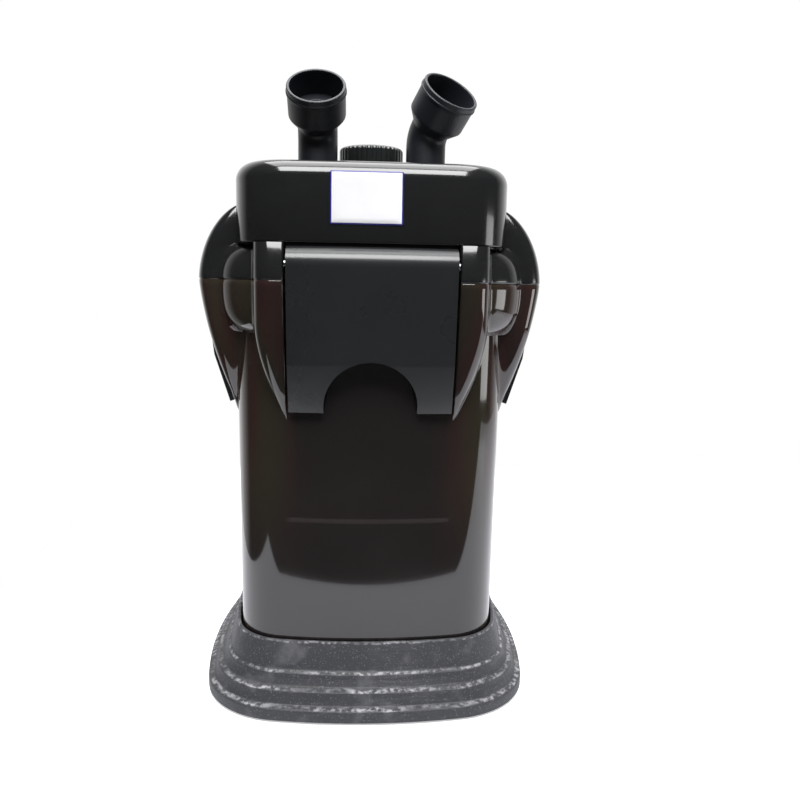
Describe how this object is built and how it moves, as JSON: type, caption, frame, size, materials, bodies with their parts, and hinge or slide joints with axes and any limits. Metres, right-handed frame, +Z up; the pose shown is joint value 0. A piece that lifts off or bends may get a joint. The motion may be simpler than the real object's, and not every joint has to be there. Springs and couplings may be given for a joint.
{
  "type": "canister filter",
  "caption": "Square external canister filter for an aquarium: tinted tank on a stepped stand, black pump head with swivelling hose elbows, priming knob and side latches.",
  "frame": {"origin": "on the floor, at the centre of the footprint", "axes": "+Z up, front latch towards -Y, intake elbow on the -X side"},
  "size_m": [0.237, 0.2395, 0.4342],
  "materials": {
    "stand_plastic": "matte textured dark grey",
    "foot_rubber": "matte",
    "tank_plastic": "polished, deeply tinted",
    "seal_rubber": "matte",
    "head_plastic": "polished near black",
    "latch_plastic": "satin black",
    "cup_plastic": "satin blue-black",
    "badge_white": "blank white with a thin blue line",
    "steel": "bright",
    "inner_plastic": "plain black",
    "basket_plastic": "dark grey",
    "ceramic": "porous, unglazed",
    "shaft_ceramic": "polished",
    "foam_dark": "open cell",
    "foam_blue": "open cell",
    "floss_white": "fibrous",
    "magnet_plastic": "moulded over a magnet",
    "copper": "enamelled wire"
  },
  "bodies": {
    "filter": {"base_stand": "stand_plastic", "base_feet": "foot_rubber", "canister": "tank_plastic", "canister_seal": "seal_rubber", "pump_head": "head_plastic", "head_cover": "head_plastic", "name_plate": "badge_white", "cover_screws": "steel", "latch_pins": "steel", "port_sockets": "inner_plastic", "port_seals": "seal_rubber", "primer_cylinder": "inner_plastic", "primer_spring": "steel", "motor_housing": "inner_plastic", "stator_core": "steel", "stator_coils": "copper", "impeller_shaft": "shaft_ceramic", "shaft_bushes": "seal_rubber", "volute_housing": "inner_plastic", "basket_lower": "basket_plastic", "basket_upper": "basket_plastic", "basket_lid": "basket_plastic", "ceramic_rings": "ceramic", "coarse_foam": "foam_dark", "medium_foam": "foam_blue", "fine_foam": "floss_white", "intake_tube": "inner_plastic", "cable_gland": "inner_plastic", "gland_nut": "inner_plastic"},
    "front_latch": {"latch_front": "latch_plastic"},
    "rear_latch": {"latch_rear": "latch_plastic"},
    "left_latch": {"latch_left": "latch_plastic"},
    "right_latch": {"latch_right": "latch_plastic"},
    "intake_swivel": {"intake_elbow": "cup_plastic"},
    "outlet_swivel": {"outlet_elbow": "cup_plastic"},
    "primer_knob": {"priming_knob": "latch_plastic"},
    "rotor": {"impeller": "magnet_plastic"}
  },
  "joints": [
    {"name": "front_latch_hinge", "type": "hinge", "parent": "filter", "child": "front_latch", "pos_m": [0, -0.1065, 0.3], "axis": [-1, 0, 0], "range_deg": [0, 100]},
    {"name": "rear_latch_hinge", "type": "hinge", "parent": "filter", "child": "rear_latch", "pos_m": [0, 0.1065, 0.3], "axis": [1, 0, 0], "range_deg": [0, 100]},
    {"name": "left_latch_hinge", "type": "hinge", "parent": "filter", "child": "left_latch", "pos_m": [-0.1065, 0, 0.3], "axis": [0, 1, 0], "range_deg": [0, 100]},
    {"name": "right_latch_hinge", "type": "hinge", "parent": "filter", "child": "right_latch", "pos_m": [0.1065, 0, 0.3], "axis": [0, -1, 0], "range_deg": [0, 100]},
    {"name": "intake_turn", "type": "hinge", "parent": "filter", "child": "intake_swivel", "pos_m": [-0.0385, -0.015, 0.393], "axis": [0, 0, 1], "range_deg": [-150, 50]},
    {"name": "outlet_turn", "type": "hinge", "parent": "filter", "child": "outlet_swivel", "pos_m": [0.0385, -0.015, 0.393], "axis": [0, 0, 1], "range_deg": [-84, 116]},
    {"name": "primer_press", "type": "slide", "parent": "filter", "child": "primer_knob", "axis": [0, 0, 1], "range_m": [-0.014, 0], "stiffness_N_per_m": 600, "springref_m": 0.0005, "deforming": ["primer_spring"]},
    {"name": "rotor_spin", "type": "hinge", "parent": "filter", "child": "rotor", "pos_m": [0, 0.062, 0.31], "axis": [0, 0, 1], "continuous": true}
  ]
}
